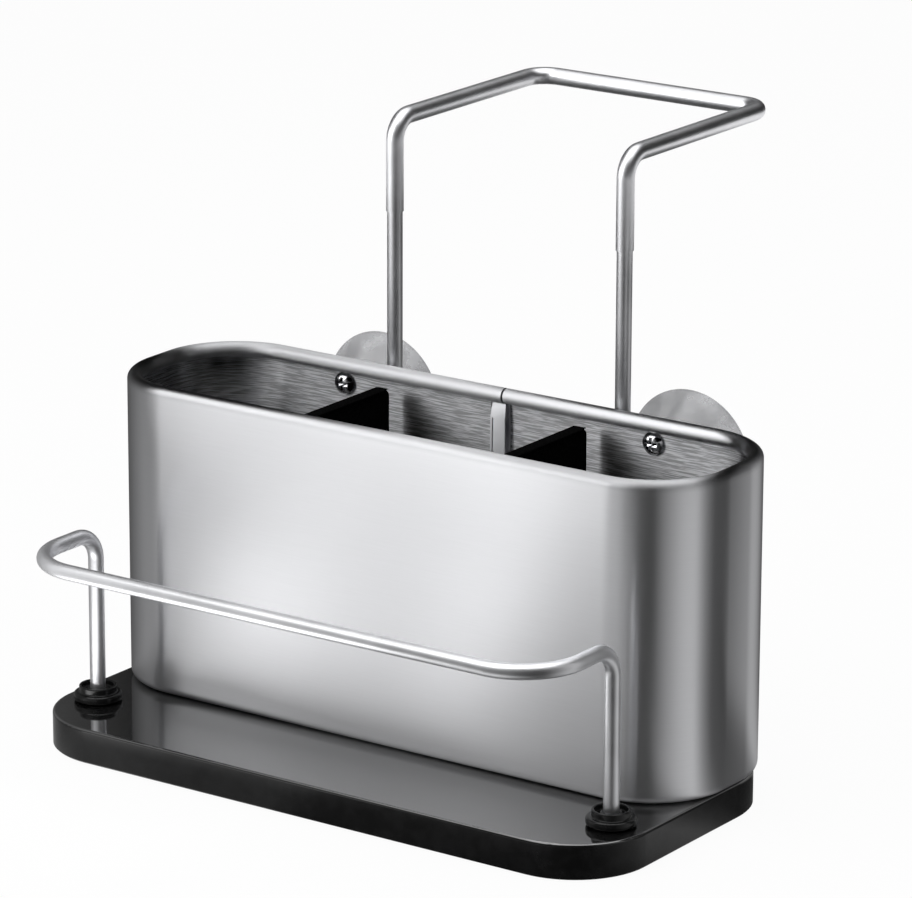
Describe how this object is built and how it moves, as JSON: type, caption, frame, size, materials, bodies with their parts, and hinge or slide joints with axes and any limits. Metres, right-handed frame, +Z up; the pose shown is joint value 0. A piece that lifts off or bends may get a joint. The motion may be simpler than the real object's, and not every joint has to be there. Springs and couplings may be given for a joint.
{
  "type": "kitchen sink caddy",
  "caption": "Brushed steel sink caddy on a moulded base with a sponge ledge, lift-out dividers, a wire rail round the ledge and a rear tube loop that hangs on a tap.",
  "frame": {"origin": "under the middle of the whole part's box, on the plane that the rubber feet stand on", "axes": "+X runs along the sleeve to the user's right, -Y is the side of the sponge ledge, +Y is the side of the tap loop and suction cups, +Z is up"},
  "size_m": [0.2226, 0.2122, 0.1959],
  "materials": {
    "brushed_sheet": "brushed along the sheet, with a polished roll",
    "steel_wire": "satin polished",
    "black_plastic": "gloss, injection moulded",
    "divider_plastic": "satin, injection moulded",
    "clear_vinyl": "clear soft vinyl",
    "foot_rubber": "matte",
    "screw_steel": "bright, cross recess"
  },
  "bodies": {
    "caddy": {"base_tray": "black_plastic", "steel_sleeve": "brushed_sheet", "floor_plate": "divider_plastic", "base_screws": "screw_steel", "rail_collar_left": "black_plastic", "rail_collar_right": "black_plastic", "rod_left": "steel_wire", "rod_right": "steel_wire", "rear_bracket_left": "black_plastic", "rear_bracket_right": "black_plastic", "bracket_screws": "screw_steel", "suction_cup_left": "clear_vinyl", "suction_cup_right": "clear_vinyl", "foot_front_left": "foot_rubber", "foot_front_right": "foot_rubber", "foot_rear_left": "foot_rubber", "foot_rear_right": "foot_rubber"},
    "loop": {"hanging_loop": "steel_wire"},
    "rail": {"sponge_rail": "steel_wire"},
    "left_divider": {"divider_left": "divider_plastic"},
    "right_divider": {"divider_right": "divider_plastic"}
  },
  "joints": [
    {"name": "loop_slide", "type": "slide", "parent": "caddy", "child": "loop", "axis": [0, 0, 1], "range_m": [0, 0.016]},
    {"name": "rail_lift", "type": "slide", "parent": "caddy", "child": "rail", "axis": [0, 0, 1], "range_m": [0, 0.02]},
    {"name": "divider_left_lift", "type": "slide", "parent": "caddy", "child": "left_divider", "axis": [0, 0, 1], "range_m": [0, 0.1]},
    {"name": "divider_right_lift", "type": "slide", "parent": "caddy", "child": "right_divider", "axis": [0, 0, 1], "range_m": [0, 0.1]}
  ]
}
